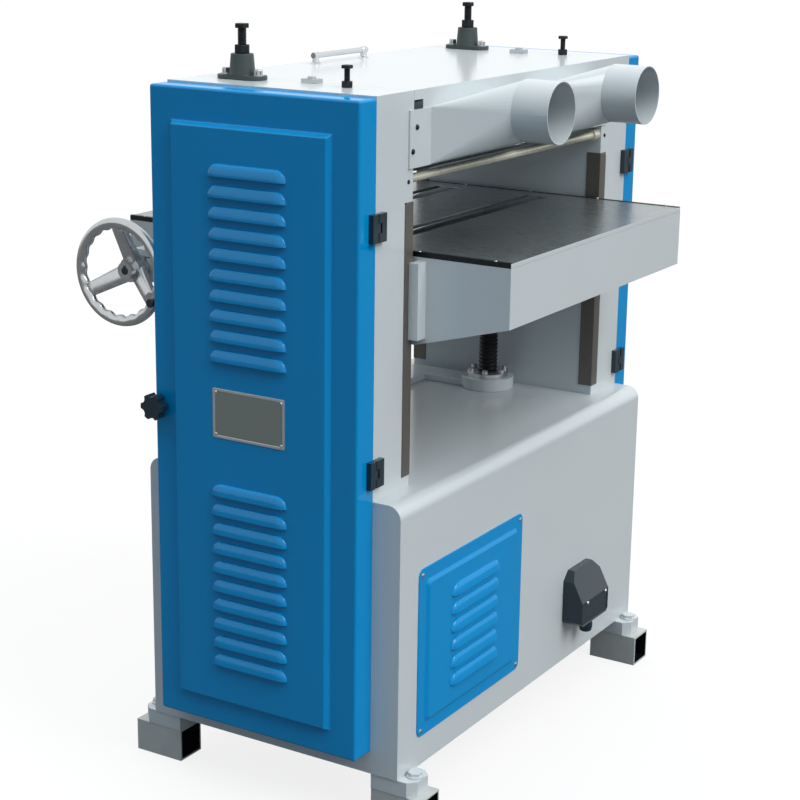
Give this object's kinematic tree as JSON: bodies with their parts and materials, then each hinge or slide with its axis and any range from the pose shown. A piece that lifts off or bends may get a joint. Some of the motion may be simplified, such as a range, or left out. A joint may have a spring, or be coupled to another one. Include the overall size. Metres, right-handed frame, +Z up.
{
  "type": "thicknesser",
  "caption": "Floor-standing wood thicknesser with louvred side doors, rising table on lift screws, cutterhead, feed rollers, dust hoods, hinged top cover and lift handwheel.",
  "frame": {"origin": "on the floor, midway between the columns and midway along their depth", "axes": "+X to the right seen from the dust ports, +Y to the back where boards go in, +Z up"},
  "size_m": [1.0686, 0.774, 1.322],
  "materials": {
    "grey_paint": "satin paint",
    "blue_paint": "satin paint",
    "bare_steel": "machined",
    "dark_steel": "blackened or polished dark",
    "grey_iron": "as cast",
    "black_plastic": "matt",
    "chrome": "polished",
    "aluminium": "polished",
    "bronze": "machined",
    "rubber": "matt"
  },
  "bodies": {
    "frame": {"base_shell": "grey_paint", "side_plates": "grey_paint", "foot_lugs": "grey_paint", "foot_tubes": "bare_steel", "foot_bolts": "grey_paint", "machine_shelves": "grey_paint", "left_column": "grey_paint", "right_column": "grey_paint", "guide_ways": "dark_steel", "front_bar": "bare_steel", "rear_beam": "grey_paint", "left_hood": "grey_paint", "right_hood": "grey_paint", "front_panel": "blue_paint", "terminal_box": "black_plastic", "cable_gland": "black_plastic", "column_hinges": "black_plastic", "cover_hinge_blocks": "black_plastic", "spring_posts": "dark_steel", "oil_caps": "bare_steel", "lift_bridge": "grey_paint", "lift_chain": "dark_steel", "lift_gearbox": "grey_paint", "cutter_bearings": "bare_steel", "bearing_housings": "grey_iron", "roller_blocks": "grey_iron", "pressure_bar": "grey_iron", "main_motor": "blue_paint", "v_belts": "rubber", "feed_gear_motor": "blue_paint", "feed_chains": "dark_steel"},
    "left_door": {"left_door": "blue_paint", "left_door_hinges": "black_plastic"},
    "right_door": {"right_door": "blue_paint", "right_door_hinges": "black_plastic"},
    "left_knob": {"left_door_knob": "black_plastic"},
    "right_knob": {"right_door_knob": "black_plastic"},
    "cover": {"top_cover": "grey_paint", "cover_handle": "chrome"},
    "left_spring_screw": {"left_spring_screw": "dark_steel"},
    "right_spring_screw": {"right_spring_screw": "dark_steel"},
    "left_stop_screw": {"left_stop_screw": "dark_steel"},
    "right_stop_screw": {"right_stop_screw": "dark_steel"},
    "table": {"table_casting": "grey_paint", "table_top": "dark_steel", "lift_screws": "bare_steel"},
    "front_bed_roller": {"front_bed_roller": "bare_steel"},
    "rear_bed_roller": {"rear_bed_roller": "bare_steel"},
    "left_lift_nut": {"left_lift_nut": "bronze"},
    "right_lift_nut": {"right_lift_nut": "bronze"},
    "lift_shaft": {"lift_shaft": "bare_steel"},
    "handwheel": {"handwheel": "aluminium"},
    "cutterhead": {"cutterhead": "bare_steel", "cutter_knives": "bare_steel", "cutter_pulley": "grey_iron"},
    "infeed_roller": {"infeed_roller": "bare_steel"},
    "outfeed_roller": {"outfeed_roller": "bare_steel"},
    "chip_breaker": {"chip_breaker": "grey_iron"},
    "motor_rotor": {"motor_pulley": "grey_iron"},
    "feed_drive": {"feed_sprocket": "bare_steel"}
  },
  "joints": [
    {"name": "handwheel_turn", "type": "hinge", "parent": "frame", "child": "handwheel", "pos_m": [-0.478, 0.3, 0.899], "axis": [1, 0, 0], "range_deg": [-11700, 8820]},
    {"name": "table_lift", "type": "slide", "parent": "frame", "child": "table", "axis": [0, 0, 1], "range_m": [-0.13, 0.098]},
    {"name": "left_lift_nut_turn", "type": "hinge", "parent": "frame", "child": "left_lift_nut", "pos_m": [-0.295, 0, 0.57], "axis": [0, 0, 1], "range_deg": [-5850, 4410]},
    {"name": "right_lift_nut_turn", "type": "hinge", "parent": "frame", "child": "right_lift_nut", "pos_m": [0.295, 0, 0.57], "axis": [0, 0, 1], "range_deg": [-5850, 4410]},
    {"name": "lift_shaft_turn", "type": "hinge", "parent": "frame", "child": "lift_shaft", "pos_m": [-0.4, 0.22, 0.7], "axis": [0, 0, 1], "range_deg": [-11700, 8820]},
    {"name": "front_bed_roller_spin", "type": "hinge", "parent": "table", "child": "front_bed_roller", "pos_m": [0, -0.098, 0.9384], "axis": [1, 0, 0], "continuous": true},
    {"name": "rear_bed_roller_spin", "type": "hinge", "parent": "table", "child": "rear_bed_roller", "pos_m": [0, 0.098, 0.9384], "axis": [1, 0, 0], "continuous": true},
    {"name": "cutterhead_spin", "type": "hinge", "parent": "frame", "child": "cutterhead", "pos_m": [0, 0.006, 1.125], "axis": [1, 0, 0], "continuous": true},
    {"name": "motor_spin", "type": "hinge", "parent": "frame", "child": "motor_rotor", "pos_m": [-0.41, -0.12, 0.232], "axis": [1, 0, 0], "continuous": true},
    {"name": "infeed_spin", "type": "hinge", "parent": "frame", "child": "infeed_roller", "pos_m": [0, 0.111, 1.1127], "axis": [1, 0, 0], "continuous": true},
    {"name": "outfeed_spin", "type": "hinge", "parent": "frame", "child": "outfeed_roller", "pos_m": [0, -0.09855, 1.1127], "axis": [1, 0, 0], "continuous": true},
    {"name": "feed_drive_spin", "type": "hinge", "parent": "frame", "child": "feed_drive", "pos_m": [0.42, 0.111, 0.3126], "axis": [1, 0, 0], "continuous": true},
    {"name": "left_door_swing", "type": "hinge", "parent": "frame", "child": "left_door", "pos_m": [-0.46015, -0.2085, 0.678], "axis": [0, 0, 1], "range_deg": [0, 90]},
    {"name": "right_door_swing", "type": "hinge", "parent": "frame", "child": "right_door", "pos_m": [0.46015, -0.2085, 0.678], "axis": [0, 0, -1], "range_deg": [0, 90]},
    {"name": "left_knob_turn", "type": "hinge", "parent": "left_door", "child": "left_knob", "pos_m": [-0.508, 0.193, 0.688], "axis": [1, 0, 0], "range_deg": [0, 720]},
    {"name": "right_knob_turn", "type": "hinge", "parent": "right_door", "child": "right_knob", "pos_m": [0.508, 0.193, 0.688], "axis": [1, 0, 0], "range_deg": [0, 720]},
    {"name": "cover_tilt", "type": "hinge", "parent": "frame", "child": "cover", "pos_m": [0, -0.197, 1.207], "axis": [1, 0, 0], "range_deg": [0, 65]},
    {"name": "left_spring_screw_turn", "type": "hinge", "parent": "frame", "child": "left_spring_screw", "pos_m": [-0.378, 0.111, 1.27], "axis": [0, 0, 1], "range_deg": [-360, 360]},
    {"name": "right_spring_screw_turn", "type": "hinge", "parent": "frame", "child": "right_spring_screw", "pos_m": [0.378, 0.111, 1.27], "axis": [0, 0, 1], "range_deg": [-360, 360]},
    {"name": "left_stop_screw_turn", "type": "hinge", "parent": "frame", "child": "left_stop_screw", "pos_m": [-0.382, -0.09855, 1.24], "axis": [0, 0, 1], "range_deg": [-360, 360]},
    {"name": "right_stop_screw_turn", "type": "hinge", "parent": "frame", "child": "right_stop_screw", "pos_m": [0.382, -0.09855, 1.24], "axis": [0, 0, 1], "range_deg": [-360, 360]},
    {"name": "chip_breaker_lift", "type": "slide", "parent": "frame", "child": "chip_breaker", "axis": [0, 0, 1], "range_m": [0, 0.004], "stiffness_N_per_m": 4000, "springref_m": -0.01}
  ],
  "couplings": [
    {"joint": "handwheel_turn", "follows": "table_lift", "rad_per_m": 1570.8},
    {"joint": "left_lift_nut_turn", "follows": "table_lift", "rad_per_m": 785.4},
    {"joint": "right_lift_nut_turn", "follows": "table_lift", "rad_per_m": 785.4},
    {"joint": "lift_shaft_turn", "follows": "table_lift", "rad_per_m": 1570.8},
    {"joint": "motor_spin", "follows": "cutterhead_spin", "ratio": 0.68235},
    {"joint": "outfeed_spin", "follows": "infeed_spin", "ratio": 1},
    {"joint": "feed_drive_spin", "follows": "infeed_spin", "ratio": 1}
  ]
}
